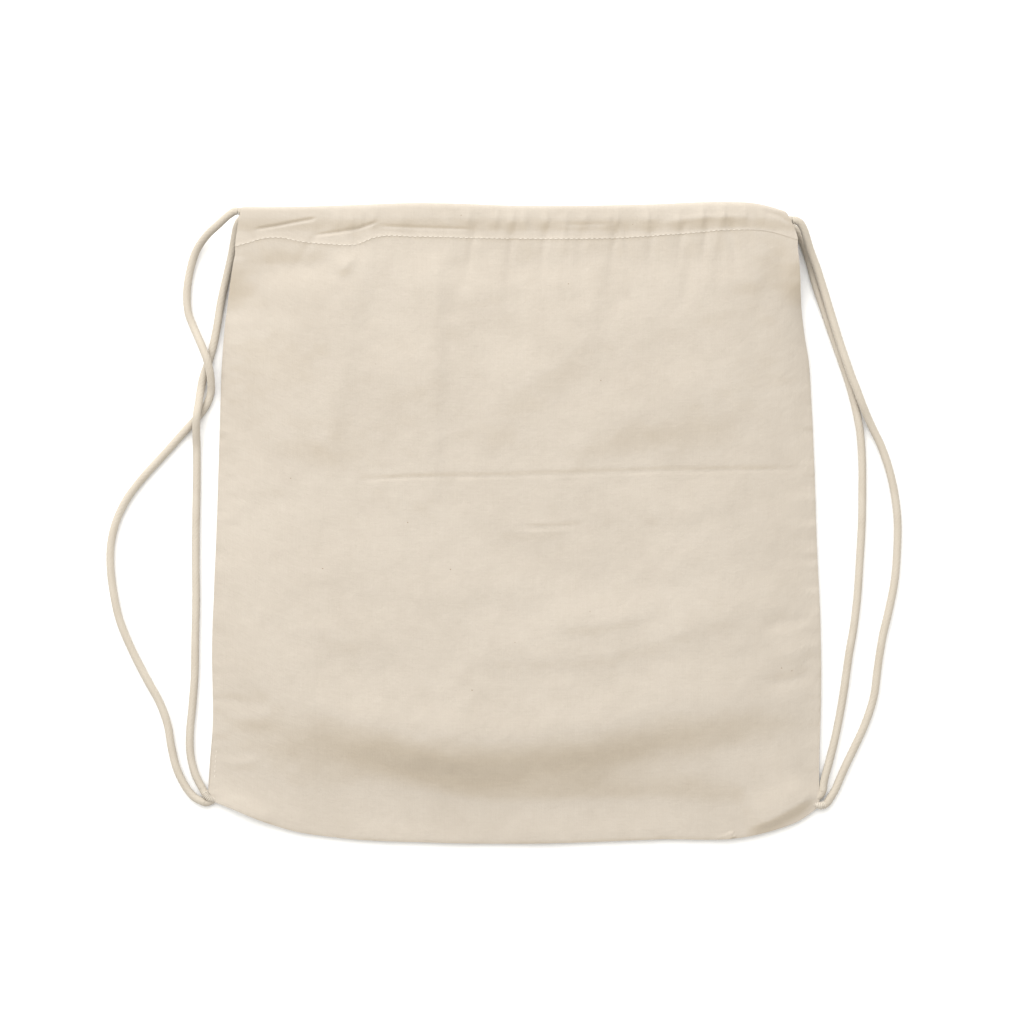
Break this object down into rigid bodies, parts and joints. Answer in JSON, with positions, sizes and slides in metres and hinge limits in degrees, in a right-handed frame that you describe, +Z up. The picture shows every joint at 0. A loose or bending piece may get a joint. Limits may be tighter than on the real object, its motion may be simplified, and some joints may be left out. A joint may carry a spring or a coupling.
{
  "type": "drawstring backpack",
  "caption": "Plain cotton drawstring backpack lying flat: two sewn panels, hem casings, and two drawcords whose free strands form the shoulder straps.",
  "frame": {"origin": "on the floor under the middle of the bag, which lies on its back panel; the free cord strands are not counted", "axes": "+Y from the bottom seam towards the mouth, +X to the right seen from above, +Z up from the floor through the front panel"},
  "size_m": [0.4995, 0.4013, 0.0224],
  "materials": {
    "bag_cloth": "unbleached plain-weave cotton, matt, with small dark seed flecks",
    "drawcord": "twisted unbleached cotton cord, matt",
    "sewing_thread": "cotton sewing thread, slight sheen"
  },
  "bodies": {
    "bag": {"front_panel": "bag_cloth", "back_panel": "bag_cloth", "front_casing": "bag_cloth", "back_casing": "bag_cloth", "left_seam_allowance": "bag_cloth", "right_seam_allowance": "bag_cloth", "bottom_seam_allowance": "bag_cloth", "front_casing_stitching": "sewing_thread", "back_casing_stitching": "sewing_thread", "left_seam_stitching": "sewing_thread", "right_seam_stitching": "sewing_thread", "bottom_seam_stitching": "sewing_thread", "left_slit_bartack": "sewing_thread", "right_slit_bartack": "sewing_thread", "left_corner_bartack": "sewing_thread", "right_corner_bartack": "sewing_thread", "left_cord_front_strand": "drawcord", "left_cord_back_strand": "drawcord", "right_cord_front_strand": "drawcord", "right_cord_back_strand": "drawcord"},
    "left_drawcord": {"left_cord_casing_run": "drawcord"},
    "right_drawcord": {"right_cord_casing_run": "drawcord"}
  },
  "joints": [
    {"name": "left_cord_pull", "type": "slide", "parent": "bag", "child": "left_drawcord", "axis": [-1, 0, 0], "range_m": [0, 0.1], "deforming": ["front_casing", "back_casing", "left_cord_front_strand", "left_cord_back_strand"]},
    {"name": "right_cord_pull", "type": "slide", "parent": "bag", "child": "right_drawcord", "axis": [1, 0, 0], "range_m": [0, 0.1], "deforming": ["front_casing", "back_casing", "right_cord_front_strand", "right_cord_back_strand"]}
  ]
}
